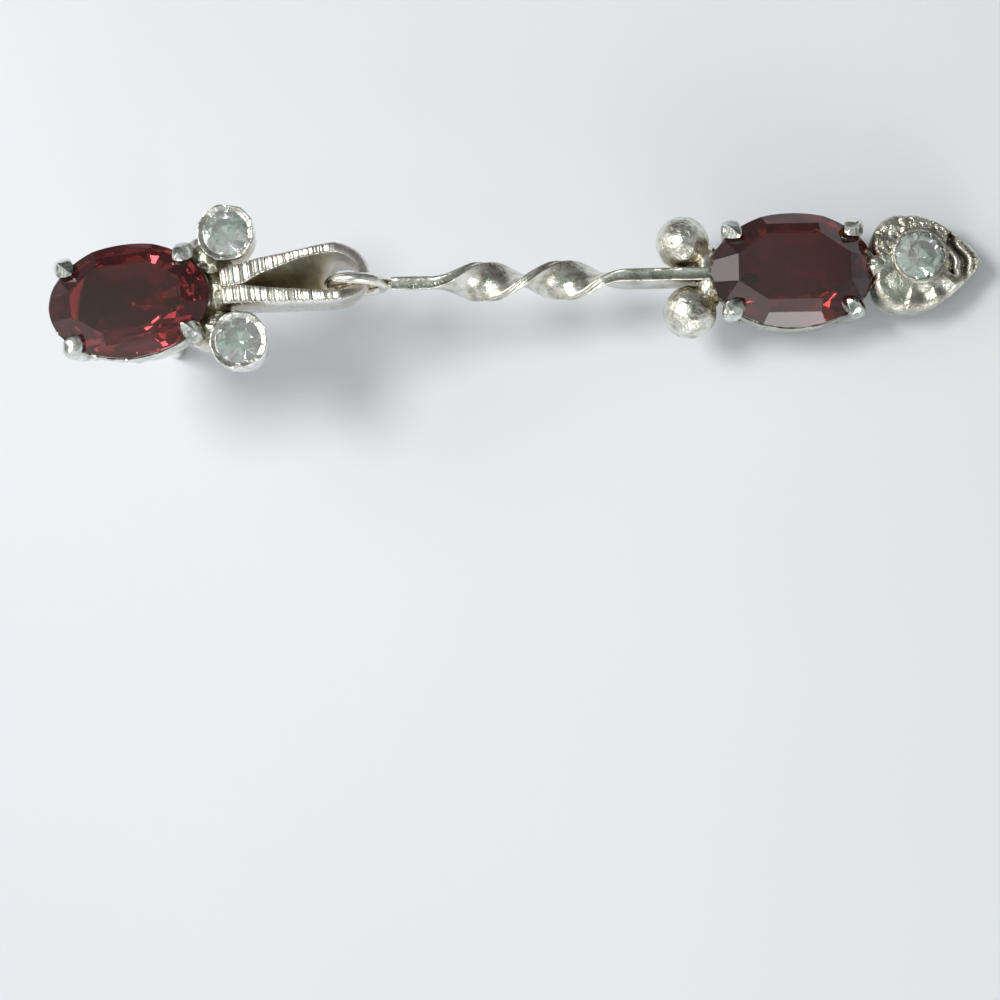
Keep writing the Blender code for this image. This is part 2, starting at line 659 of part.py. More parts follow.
make_stud_frame(STUD)
make_drop_frame(DROP)
add_stone("stud_garnet", oval_stone("stud_garnet"), STUD, (0.0, 0.0, GIRDLE_HEIGHT), GARNET)
add_stone("drop_garnet", oval_stone("drop_garnet"), DROP, (DROP_STONE_X, 0.0, GIRDLE_HEIGHT), GARNET)
for side_name, side_sign in (("upper", 1), ("lower", -1)):
    add_stone(side_name + "_side_stone", round_stone(side_name, SIDE_STONE_DIAMETER), STUD,
              (SIDE_BEZEL_X, side_sign * SIDE_BEZEL_Y, stone_level(BEZEL_RIM_HEIGHT, SIDE_STONE_DIAMETER)),
              CLEAR_STONE)
add_stone("heart_stone", round_stone("heart_stone", HEART_STONE_DIAMETER), DROP,
          (HEART_STONE_X, HEART_STONE_Y, stone_level(HEART_TOP_HEIGHT + HEART_RIM_HEIGHT, HEART_STONE_DIAMETER)),
          CLEAR_STONE)
lay_down(EARRING, STUD.location.x)
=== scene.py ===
import json
import math
import random

import bmesh
import bpy
from mathutils import Matrix, Vector, noise


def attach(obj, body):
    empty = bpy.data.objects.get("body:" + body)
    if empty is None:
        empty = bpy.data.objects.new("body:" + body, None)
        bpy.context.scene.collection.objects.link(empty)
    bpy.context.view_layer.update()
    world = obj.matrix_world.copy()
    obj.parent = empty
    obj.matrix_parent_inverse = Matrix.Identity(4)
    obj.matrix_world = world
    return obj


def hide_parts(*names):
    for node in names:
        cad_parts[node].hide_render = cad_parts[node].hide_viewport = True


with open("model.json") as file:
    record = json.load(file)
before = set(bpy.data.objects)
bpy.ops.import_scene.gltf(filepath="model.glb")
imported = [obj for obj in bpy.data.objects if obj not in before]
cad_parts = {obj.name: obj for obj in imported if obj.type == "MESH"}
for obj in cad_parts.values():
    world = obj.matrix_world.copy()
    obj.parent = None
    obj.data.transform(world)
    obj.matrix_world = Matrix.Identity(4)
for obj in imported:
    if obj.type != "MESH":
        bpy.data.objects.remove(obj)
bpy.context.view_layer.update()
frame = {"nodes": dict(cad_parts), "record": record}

MM = 0.001

# Sizes in millimetres, in the plane of the flat earring; most are shared with the part
OVAL_LENGTH = 7.0
OVAL_WIDTH = 5.0
OVAL_CROWN = 0.765
OVAL_PAVILION = 2.00
CROWN_STEP = 0.53
CROWN_STEP_RISE = 0.62
OVAL_GIRDLE = 0.08
ROUND_CROWN = 0.32
ROUND_PAVILION = 0.84
ROUND_GIRDLE = 0.06
TABLE_CORNERS = ((2.38, 0.585), (1.15, 1.43))
# The steps of the garnets' underside: (share of the reach, share of the depth)
OVAL_STEPS = ((1.0, 0.0), (0.80, 0.40), (0.42, 0.78), (0.0, 1.0))
GIRDLE_HEIGHT = 3.0
MIDDLE_HEIGHT = 1.95
COLLET_TOP = 2.88
COLLET_BOTTOM = 0.45
COLLET_PROUD = 0.05
COLLET_INSET = 0.32
COLLET_WALL = 0.40
CLAW_RADIUS = 0.34
CLAW_ANGLE = math.radians(43.0)
BEZEL_RADIUS = 1.31
BEZEL_BOTTOM = 1.50
BEZEL_TOP = 3.15
BEZEL_TAPER = 0.18
SIDE_BEZEL = (4.50, 2.40)
SIDE_STONE_RADIUS = 1.05
POST_RADIUS = 0.45
POST_LENGTH = 8.0
PLATE_RADIUS = 2.03
PLATE_BOTTOM = 0.50
PLATE_TOP = 1.00
STUD_YAW = math.radians(7.0)
RING_IN_STUD = (9.82, -0.41)
RING_RADIUS = 1.18
RING_WIRE = 0.27
WIRE_SIDES = 20
LOOP_START = 3.70
LOOP_FRONT = 4.08
LOOP_ROUND_START = 9.0
LOOP_STEP = 0.022
LOOP_ROUND_X = 9.17
LOOP_ROUND_RADIUS = 1.30
LOOP_WALL = 0.50
LOOP_TOP = 3.30
LOOP_BOTTOM = 0.40
LOOP_UNDER_SHARE = 0.82
LOOP_INNER_SLANT = 0.85
LOOP_END_DEPTH = 0.90
LOOP_SLOPE_LENGTH = 1.30
STRIP_WIDTH = 1.75
STRIP_THICKNESS = 0.56
BAR_HOLLOW = 0.07
BAR_CUSHION = 0.24
STRIP_START = 1.55
STRIP_END = 15.30
STRIP_LEAN = math.radians(13.0)
TWIST_START = 3.15
TWIST_END = 11.70
TWIST_EASE = 0.17
BALL_RADIUS = 1.17
BALL_X = 14.34
BALL_Y = 1.54
BALL_STAGGER = 0.12
DROP_STONE_X = 18.84
SADDLE = (1.20, 3.00, 1.50)
SOLDER = (2.40, 2.00, 1.60)
HEART_TOP = 3.35
HEART_THICKNESS = 1.65
HEART_Y = 0.22
HEART_LOBE_X = 23.46
HEART_CLEFT_X = 22.70
HEART_TIP_X = 26.92
HEART_HALF_WIDTH = 2.10
HEART_LOBE_RADIUS = 1.20
HEART_STONE = (24.24, 0.46)
HEART_STONE_RADIUS = 1.10
HEART_RIM_HEIGHT = 0.12

# A claw from its foot to its cut tip: reach in radii, height, size in radii, how cut it is
CLAW_STATIONS = (
    (-1.15, 0.02, 0.88, 0.0),
    (-0.20, 1.20, 0.96, 0.0),
    (0.40, 2.40, 1.00, 0.0),
    (0.50, 2.90, 1.12, 0.1),
    (0.42, 3.12, 1.28, 0.5),
    (0.10, 3.235, 1.33, 0.9),
    (-0.35, 3.335, 1.18, 1.0),
    (-0.90, 3.44, 0.78, 1.0),
    (-1.35, 3.52, 0.22, 1.0),
)
CLAW_EDGE = 0.028

# Half-outlines of the engraved loop: (x, outer, inner) on its upper and its lower arm
UPPER_ARM = ((3.74, 0.74, 0.0), (4.60, 0.88, 0.0), (5.00, 0.93, 0.02), (5.80, 1.06, 0.34),
             (6.70, 1.12, 0.56), (7.60, 1.20, 0.78), (8.50, 1.27, 0.84), (9.00, 1.28, 0.83))
LOWER_ARM = ((3.74, 0.70, 0.0), (4.60, 0.80, 0.0), (5.00, 0.84, 0.02), (5.80, 0.95, 0.22),
             (6.70, 1.06, 0.42), (7.60, 1.16, 0.58), (8.50, 1.27, 0.76), (9.00, 1.28, 0.83))
# Across the loop's top: (share of the way from the outer to the inner edge, drop)
LOOP_TOP_POINTS = ((0.0, 0.09), (0.04, 0.04), (0.12, 0.01), (0.30, 0.0), (0.50, 0.0), (0.70, 0.0),
                   (0.88, 0.01), (0.96, 0.04), (1.0, 0.09))

# The cuts across the heart's point: (place along X, depth, width); then its ridges, in degrees
HEART_CUTS = ((26.48, 0.16, 0.08), (26.02, 0.36, 0.15), (25.48, 0.24, 0.10))
HEART_RIDGES = (-104.0, -70.0, -42.0, -22.0)

# Each silver finish: grain, bump, lowest and highest roughness, light tone, dark tone, and how light
# the painted shade and tarnish stay in its hollows and where other surfaces are near
SILVER_FINISHES = {
    "cast_silver": (5600.0, 0.85, 0.06, 0.26, (0.78, 0.77, 0.68), (0.42, 0.39, 0.31), 0.38),
    "cut_silver": (1800.0, 0.22, 0.06, 0.20, (0.80, 0.79, 0.73), (0.50, 0.48, 0.42), 0.38),
    "claw_silver": (3600.0, 0.25, 0.04, 0.14, (0.80, 0.83, 0.78), (0.34, 0.38, 0.35), 0.30),
    "rim_silver": (4200.0, 0.80, 0.14, 0.30, (0.95, 0.94, 0.89), (0.55, 0.53, 0.48), 0.70),
    "engraved_silver": (2600.0, 0.25, 0.20, 0.34, (0.92, 0.89, 0.85), (0.60, 0.56, 0.50), 0.58),
    # The loop's inner walls: rougher, and darker in tone as painted shade
    "shaded_dull_silver": (2600.0, 0.40, 0.35, 0.50, (0.76, 0.75, 0.70), (0.50, 0.48, 0.43), 0.90),
    "ball_silver": (5600.0, 1.00, 0.06, 0.28, (0.86, 0.85, 0.77), (0.46, 0.44, 0.37), 0.80),
    "smooth_silver": (4600.0, 0.60, 0.08, 0.26, (0.75, 0.74, 0.66), (0.42, 0.39, 0.31), 0.38),
    "wire_silver": (3000.0, 0.30, 0.10, 0.24, (0.98, 0.96, 0.91), (0.74, 0.71, 0.64), 0.85),
    "carved_silver": (4600.0, 0.80, 0.20, 0.42, (0.66, 0.64, 0.56), (0.40, 0.37, 0.31), 0.22),
}
BRIGHTEST_SILVER = (0.93, 0.92, 0.86)
# How far the painted shade reaches from nearby surfaces
PAINTED_SHADE_REACH = 1.1 * MM

# The studio: brightness and tint from below to overhead, then (name, place, size, power, colour)
WORLD_STRENGTH = 0.29
WORLD_STOPS = ((0.0, (0.95, 0.94, 0.92)), (0.20, (1.15, 1.14, 1.12)), (0.40, (1.70, 1.68, 1.63)),
               (0.70, (1.60, 1.62, 1.58)), (0.86, (1.20, 1.36, 1.27)), (1.0, (1.02, 1.32, 1.17)))
BRIGHT_SIDE = (-0.45, -0.89, 0.0)
PANEL_SCALE = 3.4
WARM_LIGHT = (1.0, 0.99, 0.97)
COOL_LIGHT = (0.97, 0.99, 1.0)
LIGHTS = (
    ("key", (-0.051, 0.015, 0.156), 0.06, 0.120, WARM_LIGHT),
    ("left", (-0.105, 0.034, 0.099), 0.07, 0.026, WARM_LIGHT),
    ("front", (0.044, -0.137, 0.056), 0.07, 0.040, COOL_LIGHT),
)

# The photograph's view of the flat earring
VIEW_X = 6.14
VIEW_Y = -9.73
VIEW_HEIGHT = 3.0
CAMERA_DISTANCE = 85.0
CAMERA_TILT = math.radians(6.9)
CAMERA_LEAN = math.radians(1.5)
CAMERA_ROLL = math.radians(0.95)
PIXELS_PER_MM = 23.52
PHOTO_PIXELS = 1000.0
SENSOR_WIDTH = 36.0


def earring_matrix():
    """The plane of the flat earring, from the record's mount at the post's end."""
    mount = [entry for entry in frame["record"]["mounts"] if entry["name"] == "post_end"][0]
    down = Vector(mount["axis"])
    pitch = math.atan2(-down.x, -down.z)
    turn = Matrix.Rotation(pitch, 4, "Y")
    stud = Vector(mount["pos_m"]) - down * POST_LENGTH * MM
    ring = stud + turn @ (Matrix.Rotation(STUD_YAW, 4, "Z") @ Vector((*RING_IN_STUD, 0.0)) * MM)
    return Matrix.Translation(ring) @ turn @ Matrix.Scale(MM, 4)


DROP = earring_matrix()
STUD_SHIFT = Matrix.Translation((-RING_IN_STUD[0], -RING_IN_STUD[1], 0.0))
STUD = DROP @ Matrix.Rotation(STUD_YAW, 4, "Z") @ STUD_SHIFT


class Nodes:
    """A short way to write the node tree of a material or of the world."""

    def __init__(self, owner, shader="Principled BSDF"):
        owner.use_nodes = True
        self.owner = owner
        self.tree = owner.node_tree
        self.shader = self.tree.nodes[shader]

    def add(self, kind, values=(), **settings):
        node = self.tree.nodes.new(kind)
        for key, value in settings.items():
            setattr(node, key, value)
        for socket, value in values:
            if isinstance(value, bpy.types.NodeSocket):
                self.tree.links.new(value, node.inputs[socket])
            else:
                node.inputs[socket].default_value = value
        return node

    def set(self, socket, value):
        if isinstance(value, bpy.types.NodeSocket):
            self.tree.links.new(value, self.shader.inputs[socket])
        else:
            self.shader.inputs[socket].default_value = value

    def place(self):
        return self.add("ShaderNodeTexCoord").outputs["Object"]

    def noise(self, where, scale, detail=4.0, rough=0.6):
        values = (("Vector", where), ("Scale", scale), ("Detail", detail), ("Roughness", rough))
        return self.add("ShaderNodeTexNoise", values).outputs["Fac"]

    def ramp(self, factor, stops):
        node = self.add("ShaderNodeValToRGB", (("Fac", factor),))
        ramp = node.color_ramp
        while len(ramp.elements) < len(stops):
            ramp.elements.new(0.5)
        for element, (position, colour) in zip(ramp.elements, stops):
            element.position = position
            element.color = (*colour, 1.0)
        return node.outputs["Color"]

    def span(self, factor, low, high, out_low, out_high):
        values = (("Value", factor), ("From Min", low), ("From Max", high),
                  ("To Min", out_low), ("To Max", out_high))
        return self.add("ShaderNodeMapRange", values).outputs["Result"]

    def bump(self, height, strength, distance, base=None):
        values = [("Height", height), ("Strength", strength), ("Distance", distance)]
        if base is not None:
            values.append(("Normal", base))
        return self.add("ShaderNodeBump", values).outputs["Normal"]


def silver(name):
    """Cast or filed silver: cloudy tone, with grain and fine pits; an occlusion node paints shade, tinted
    like tarnish, into the base colour in its hollows, between parts and close to the floor.
    """
    if name in bpy.data.materials:
        return bpy.data.materials[name]
    grain, bump, rough_low, rough_high, light, dark, hollow = SILVER_FINISHES[name]
    nodes = Nodes(bpy.data.materials.new(name))
    where = nodes.place()
    clouds = nodes.noise(where, grain * 0.28, 4.0, 0.65)
    pits = nodes.noise(where, grain, 4.0, 0.7)
    tone = nodes.ramp(clouds, ((0.34, dark), (0.52, light), (0.72, BRIGHTEST_SILVER)))
    # Painted shade: the occlusion darkens the base colour in hollows, between parts and near the floor,
    # tinted like tarnish
    shade = nodes.add("ShaderNodeAmbientOcclusion", (("Distance", PAINTED_SHADE_REACH),), samples=8)
    shade_and_tarnish = (hollow, hollow * 0.91, hollow * 0.74)
    painted_crevice_shade = nodes.ramp(shade.outputs["AO"], ((0.20, shade_and_tarnish), (0.85, (1.0, 1.0, 1.0))))
    values = (("Factor", 1.0), ("A", tone), ("B", painted_crevice_shade))
    mix = nodes.add("ShaderNodeMix", values, data_type="RGBA", blend_type="MULTIPLY")
    nodes.set("Base Color", mix.outputs["Result"])
    nodes.set("Metallic", 1.0)
    nodes.set("Roughness", nodes.span(pits, 0.3, 0.7, rough_low, rough_high))
    coarse = nodes.bump(clouds, bump, 0.10 * MM)
    nodes.set("Normal", nodes.bump(pits, bump, 0.035 * MM, coarse))
    return nodes.owner


def red_stone(name, dark, light):
    nodes = Nodes(bpy.data.materials.new(name))
    where = nodes.place()
    tone = nodes.noise(where, 260.0, 2.0, 0.5)
    nodes.set("Base Color", nodes.ramp(tone, ((0.35, dark), (0.65, light))))
    nodes.set("Transmission Weight", 0.92)
    nodes.set("IOR", 1.76)
    nodes.set("Specular IOR Level", 0.85)
    nodes.set("Roughness", nodes.span(nodes.noise(where, 900.0), 0.4, 0.6, 0.0, 0.03))
    return nodes.owner


def clear_stone():
    nodes = Nodes(bpy.data.materials.new("clear_stone"))
    where = nodes.place()
    tone = nodes.noise(where, 900.0, 2.0, 0.5)
    stops = ((0.38, (0.82, 1.0, 0.93)), (0.50, (1.0, 1.0, 1.0)), (0.64, (1.0, 0.95, 1.0)))
    nodes.set("Base Color", nodes.ramp(tone, stops))
    nodes.set("Transmission Weight", 0.80)
    nodes.set("IOR", 2.15)
    nodes.set("Specular IOR Level", 0.75)
    nodes.set("Roughness", nodes.span(nodes.noise(where, 2000.0), 0.4, 0.6, 0.0, 0.04))
    return nodes.owner


def floor_material():
    nodes = Nodes(bpy.data.materials.new("floor"))
    where = nodes.place()
    tone = nodes.noise(where, 18.0, 3.0, 0.5)
    nodes.set("Base Color", nodes.ramp(tone, ((0.3, (0.80, 0.815, 0.875)), (0.7, (0.85, 0.865, 0.925)))))
    nodes.set("Roughness", nodes.span(tone, 0.3, 0.7, 0.55, 0.7))
    nodes.set("Normal", nodes.bump(nodes.noise(where, 4000.0), 0.15, 0.05 * MM))
    return nodes.owner


def linked(name, data):
    """An object of its own for a mesh, a light or a camera."""
    item = bpy.data.objects.new(name, data)
    bpy.context.scene.collection.objects.link(item)
    return item


def finish_piece(name, mesh, matrix, material, smooth_angle=35.0, node=None):
    """Places a mesh made in millimetres, gives it its finish and lets it ride on the part's body."""
    form = bmesh.new()
    form.from_mesh(mesh)
    bmesh.ops.remove_doubles(form, verts=form.verts, dist=1e-5)
    bmesh.ops.recalc_face_normals(form, faces=form.faces)
    form.to_mesh(mesh)
    form.free()
    mesh.transform(matrix)
    mesh.shade_smooth()
    mesh.set_sharp_from_angle(angle=math.radians(smooth_angle))
    mesh.materials.clear()
    mesh.materials.append(material)
    piece = linked(name, mesh)
    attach(piece, "root")
    if node is not None:
        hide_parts(node)
    return piece


def rows_mesh(name, rows, closed=False):
    """Joins rows of equal numbers of points: around each row, and on from row to row."""
    count = len(rows[0])
    points = [point for row in rows for point in row]
    faces = []
    row_steps = len(rows) if closed else len(rows) - 1
    for row in range(row_steps):
        below = row * count
        above = (row + 1) % len(rows) * count
        for column in range(count):
            after = (column + 1) % count
            faces.append((below + column, below + after, above + after, above + column))
    if not closed:
        faces.append(tuple(range(count - 1, -1, -1)))
        faces.append(tuple((len(rows) - 1) * count + column for column in range(count)))
    mesh = bpy.data.meshes.new(name)
    mesh.from_pydata([tuple(point) for point in points], [], faces)
    return mesh


def made_mesh(name, form):
    mesh = bpy.data.meshes.new(name)
    form.to_mesh(mesh)
    form.free()
    return mesh


def joined(name, meshes):
    form = bmesh.new()
    for mesh in meshes:
        form.from_mesh(mesh)
    return made_mesh(name, form)


def roughen(mesh, amount, scale, seed=0.0):
    """Moves each point along its normal by smooth noise, for cast and hammered metal."""
    shift = Vector((seed, seed * 1.7, -seed))
    normals = [vertex.normal.copy() for vertex in mesh.vertices]
    for vertex, normal in zip(mesh.vertices, normals):
        value = noise.fractal(vertex.co * scale + shift, 0.7, 2.0, 4)
        vertex.co += normal * amount * value
    return mesh


def moved(mesh, x, y, z):
    mesh.transform(Matrix.Translation((x, y, z)))
    return mesh


def blob(name, size, place, amount, seed):
    """A rough lump of solder, stretched to a size."""
    form = bmesh.new()
    bmesh.ops.create_icosphere(form, subdivisions=5, radius=0.5)
    bmesh.ops.scale(form, vec=size, verts=form.verts)
    return moved(roughen(made_mesh(name, form), amount, 1.6, seed), *place)


def turned_rows(profile, steps, place):
    """Rows round Z for a closed profile of (radius, height), each point put in its place."""
    rows = []
    for step in range(steps):
        angle = math.tau * step / steps
        rows.append([place(angle, radius, height) for radius, height in profile])
    return rows


def collet_mesh(name, seed):
    """The rough oval wall under a garnet, with an uneven, scalloped rim."""
    half = OVAL_WIDTH / 2.0 + COLLET_PROUD
    base = half - COLLET_INSET
    outer = []
    levels = 10
    for level in range(levels + 1):
        share = level / levels
        reach = base + (half - base) * min(share * 1.2, 1.0)
        outer.append((reach, COLLET_BOTTOM + (COLLET_TOP - COLLET_BOTTOM) * share))
    inner = [
        (half - COLLET_WALL * 0.40, COLLET_TOP),
        (half - COLLET_WALL, COLLET_TOP - 0.25),
        (base - COLLET_WALL, COLLET_BOTTOM + 0.8),
        (base - COLLET_WALL, COLLET_BOTTOM),
    ]
    profile = outer + inner
    long_share = (OVAL_LENGTH / 2.0 + COLLET_PROUD) / half
    random.seed(seed)
    phases = [random.uniform(0.0, math.tau) for _ in range(3)]

    def place(angle, radius, height):
        wave = math.sin(angle * 17.0 + phases[0]) * 0.5 + math.sin(angle * 29.0 + phases[1]) * 0.5
        rim = max(0.0, (height - 2.3) / 0.6)
        height -= rim * (0.06 + 0.06 * wave)
        radius -= 0.02 * (1.0 + wave)
        return Vector((radius * long_share * math.cos(angle), radius * math.sin(angle), height))

    mesh = rows_mesh(name, turned_rows(profile, 220, place), closed=True)
    face_outward(mesh)
    return roughen(mesh, 0.05, 1.8, seed)


def face_outward(mesh):
    """Turns every face of a closed mesh to the outside."""
    form = bmesh.new()
    form.from_mesh(mesh)
    bmesh.ops.recalc_face_normals(form, faces=form.faces)
    form.to_mesh(mesh)
    form.free()


def house_section(steps):
    """A claw's cut shape: two slopes that meet in a ridge, on a flat base."""
    corners = ((0.0, 1.05), (-0.96, 0.22), (-0.66, -0.85), (0.66, -0.85), (0.96, 0.22))
    points = []
    for first, second in zip(corners, corners[1:] + corners[:1]):
        for step in range(steps):
            share = step / steps
            points.append(Vector(first).lerp(Vector(second), share))
    return points


def claw_mesh(along, across, seed):
    """One claw: a round leg up the wall that turns over the stone and ends in bright cuts."""
    cosine = math.cos(CLAW_ANGLE) * along
    sine = math.sin(CLAW_ANGLE) * across
    random.seed(seed)
    lean = random.uniform(-0.30, 0.30)
    longer = random.uniform(0.90, 1.15)
    wider = random.uniform(0.92, 1.12)
    points = []
    for out, height, size, cut in CLAW_STATIONS:
        reach = out * CLAW_RADIUS * (longer if out < 0.0 and cut > 0.0 else 1.0)
        place = Vector(((OVAL_LENGTH / 2.0 + reach) * cosine, (OVAL_WIDTH / 2.0 + reach) * sine, height))
        points.append((place, size * CLAW_RADIUS, cut))
    outward = Vector((cosine, sine, 0.0)).normalized()
    side = Vector((-outward.y, outward.x, 0.0))
    section = house_section(4)
    rows = []
    for index, (point, radius, cut) in enumerate(points):
        before = points[max(index - 1, 0)][0]
        after = points[min(index + 1, len(points) - 1)][0]
        tangent = (after - before).normalized()
        normal = side.cross(tangent).normalized()
        if normal.dot(outward + Vector((0.0, 0.0, 1.0))) < 0.0:
            normal = -normal
        row = []
        for corner in section:
            round_point = corner.normalized()
            shape = round_point.lerp(corner, cut)
            turned = Matrix.Rotation(lean * cut, 2) @ shape
            row.append(point + side * turned.x * radius * wider + normal * turned.y * radius)
        rows.append(row)
    return rows_mesh("claw", rows)


def soften_edges(mesh, width, angle):
    """Cuts a narrow facet along each sharp edge, so that it catches the light."""
    form = bmesh.new()
    form.from_mesh(mesh)
    bmesh.ops.recalc_face_normals(form, faces=form.faces)
    sharp = [edge for edge in form.edges if edge.is_manifold and edge.calc_face_angle() > angle]
    bmesh.ops.bevel(form, geom=sharp, offset=width, segments=2, affect="EDGES", profile=0.5,
                    clamp_overlap=True)
    form.to_mesh(mesh)
    form.free()
    return mesh


def claws_mesh(name, seed):
    corners = ((-1, 1), (1, 1), (1, -1), (-1, -1))
    meshes = []
    for index, (along, across) in enumerate(corners):
        claw = claw_mesh(along, across, seed + index)
        meshes.append(soften_edges(claw, CLAW_EDGE, math.radians(28.0)))
    return joined(name, meshes)


def bezel_mesh(name, seed):
    """A thin hammered tube: flats round its wall, an uneven rim, a bright inner lip."""
    random.seed(seed)
    flats = []
    angle = 0.0
    while angle < math.tau - 0.2:
        flats.append((angle, random.uniform(0.925, 0.99)))
        angle += random.uniform(0.45, 0.75)
    profile = [
        (BEZEL_RADIUS - BEZEL_TAPER, BEZEL_BOTTOM),
        (BEZEL_RADIUS - BEZEL_TAPER * 0.4, BEZEL_BOTTOM + 0.6),
        (BEZEL_RADIUS, BEZEL_TOP - 0.30),
        (BEZEL_RADIUS, BEZEL_TOP - 0.10),
        (BEZEL_RADIUS - 0.04, BEZEL_TOP - 0.02),
        (BEZEL_RADIUS - 0.09, BEZEL_TOP),
        (BEZEL_RADIUS - 0.15, BEZEL_TOP - 0.02),
        (SIDE_STONE_RADIUS + 0.04, BEZEL_TOP - 0.08),
        (SIDE_STONE_RADIUS - 0.06, BEZEL_TOP - 0.11),
        (SIDE_STONE_RADIUS - 0.09, BEZEL_TOP - 0.15),
        (SIDE_STONE_RADIUS - 0.04, BEZEL_TOP - 0.19),
        (SIDE_STONE_RADIUS + 0.06, BEZEL_TOP - 0.30),
        (SIDE_STONE_RADIUS - 0.10, BEZEL_TOP - 0.70),
        (SIDE_STONE_RADIUS * 0.6, BEZEL_BOTTOM + 0.3),
        (SIDE_STONE_RADIUS * 0.6, BEZEL_BOTTOM),
    ]

    def place(angle, radius, height):
        outer = max(0.0, (radius - SIDE_STONE_RADIUS) / (BEZEL_RADIUS - SIDE_STONE_RADIUS))
        flat = min(size / max(math.cos(angle - middle), 0.2) for middle, size in flats)
        radius *= 1.0 + (min(flat, 1.0) - 1.0) * min(outer, 1.0)
        wave = noise.noise(Vector((math.cos(angle) * 2.2, math.sin(angle) * 2.2, seed)))
        rim = max(0.0, (height - BEZEL_TOP + 0.30) / 0.30)
        height += rim * (0.07 * wave - 0.04)
        return Vector((radius * math.cos(angle), radius * math.sin(angle), height))

    mesh = rows_mesh(name, turned_rows(profile, 144, place), closed=True)
    face_outward(mesh)
    return roughen(mesh, 0.025, 3.0, seed)


def between(table, x, column):
    """A column of a table at x, along straight lines from row to row."""
    for low, high in zip(table, table[1:]):
        if x <= high[0]:
            share = (x - low[0]) / (high[0] - low[0])
            return low[column] + (high[column] - low[column]) * share
    return table[-1][column]


def engraved_lines(first, last, seed):
    """The cuts across an arm: (x, depth, width, tilt of the strip after the cut)."""
    random.seed(seed)
    lines = []
    x = first
    while x < last:
        depth = random.uniform(0.035, 0.085)
        width = random.uniform(0.018, 0.034)
        lines.append((x, depth, width, random.uniform(-0.22, 0.22)))
        x += random.uniform(0.13, 0.27)
    return lines


def groove_at(x, lines):
    """How deep the engraving is at a place along an arm."""
    groove = 0.0
    for centre, depth, width, tilt in lines:
        groove = max(groove, depth * math.exp(-((x - centre) / width) ** 2))
        if centre < x < centre + 0.2:
            groove += max(0.0, 0.02 + (x - centre - 0.1) * tilt)
    return groove


def loop_stations():
    """Pairs of outer and inner points with the depth of engraving, down one arm and up the other."""
    sides = []
    length = LOOP_ROUND_START - LOOP_FRONT
    count = int(length / LOOP_STEP)
    arms = ((UPPER_ARM, 1, engraved_lines(3.85, 8.75, 5)), (LOWER_ARM, -1, engraved_lines(3.85, 9.0, 9)))
    for arm, sign, lines in arms:
        side = []
        for index in range(count + 1):
            x = LOOP_FRONT + length * index / count
            outer_point = (x, sign * between(arm, x, 1))
            inner_point = (x, sign * between(arm, x, 2))
            side.append((outer_point, inner_point, groove_at(x, lines)))
        sides.append(side)
    turn = []
    steps = 64
    outer_half = UPPER_ARM[-1][1]
    inner_half = UPPER_ARM[-1][2]
    reach = LOOP_ROUND_X + LOOP_ROUND_RADIUS - LOOP_ROUND_START - 0.01
    for index in range(1, steps):
        angle = math.pi / 2.0 - math.pi * index / steps
        inner_radius = inner_half - 0.03 * math.cos(angle)
        outer_point = (LOOP_ROUND_START + reach * math.cos(angle), outer_half * math.sin(angle))
        inner_x = LOOP_ROUND_START + (reach - LOOP_WALL) * math.cos(angle)
        turn.append((outer_point, (inner_x, inner_radius * math.sin(angle)), 0.0))
    return sides[0] + turn + list(reversed(sides[1]))


def loop_limits(x):
    """The loop's top and bottom at a place along it; both close in towards its round end."""
    end_x = LOOP_ROUND_X + LOOP_ROUND_RADIUS
    back = max(0.0, x - (end_x - LOOP_SLOPE_LENGTH)) / LOOP_SLOPE_LENGTH
    top = LOOP_TOP - (LOOP_TOP - MIDDLE_HEIGHT - LOOP_END_DEPTH / 2.0) * back
    bottom = LOOP_BOTTOM + (MIDDLE_HEIGHT - LOOP_END_DEPTH / 2.0 - LOOP_BOTTOM) * back
    return top - 0.01, bottom + 0.01


def loop_wall(x, y, slant, shares):
    """Points down one wall of the loop, which leans in by a slant at its foot."""
    top, bottom = loop_limits(x)
    points = []
    for share in shares:
        under = 1.0 - (1.0 - LOOP_UNDER_SHARE) * share
        points.append(Vector((x, y * under - slant * share, top + (bottom - top) * share)))
    return points


def inner_slant(x, y):
    """How far the upper arm's inner wall leans in; it stands upright where the loop turns."""
    if y <= 0.0:
        return 0.0
    opening = between(UPPER_ARM, x, 2) + between(LOWER_ARM, x, 2)
    ease = min(max((LOOP_ROUND_START - x) / 0.9, 0.0), 1.0)
    return LOOP_INNER_SLANT * LOOP_UNDER_SHARE * opening * ease * ease * (3.0 - 2.0 * ease)


def loop_mesh():
    """The teardrop of flat strip: outer wall, engraved top with soft edges, inner wall."""
    rows = []
    for (outer_x, outer_y), (inner_x, inner_y), groove in loop_stations():
        row = loop_wall(outer_x, outer_y, 0.0, (1.0, 0.66, 0.33))
        for share, drop in LOOP_TOP_POINTS:
            x = outer_x + (inner_x - outer_x) * share
            y = outer_y + (inner_y - outer_y) * share
            top = loop_limits(x)[0]
            row.append(Vector((x, y, top - drop - groove * (1.0 - drop * 4.0))))
        slant = inner_slant(inner_x, inner_y)
        rows.append(row + loop_wall(inner_x, inner_y, slant, (0.33, 0.66, 1.0)))
    mesh = rows_mesh("loop", rows)
    face_outward(mesh)
    return mesh


def shade_loop_inside(loop, material):
    """Gives the loop's inner walls a duller, rougher finish than its engraved top and a darker tone, which
    is painted shade.
    """
    loop.data.materials.append(material)
    upright = STUD.to_3x3().normalized() @ Vector((0.0, 0.0, 1.0))
    middle = STUD @ Vector((LOOP_ROUND_X, 0.0, MIDDLE_HEIGHT))
    for face in loop.data.polygons:
        side = abs(face.normal.dot(upright)) < 0.50
        inward = face.normal.dot(middle - face.center) > 0.0
        near = STUD.inverted() @ face.center
        limit = between(UPPER_ARM, min(near.x, LOOP_ROUND_START), 1) * 0.80
        if side and inward and abs(near.y) < limit:
            face.material_index = 1


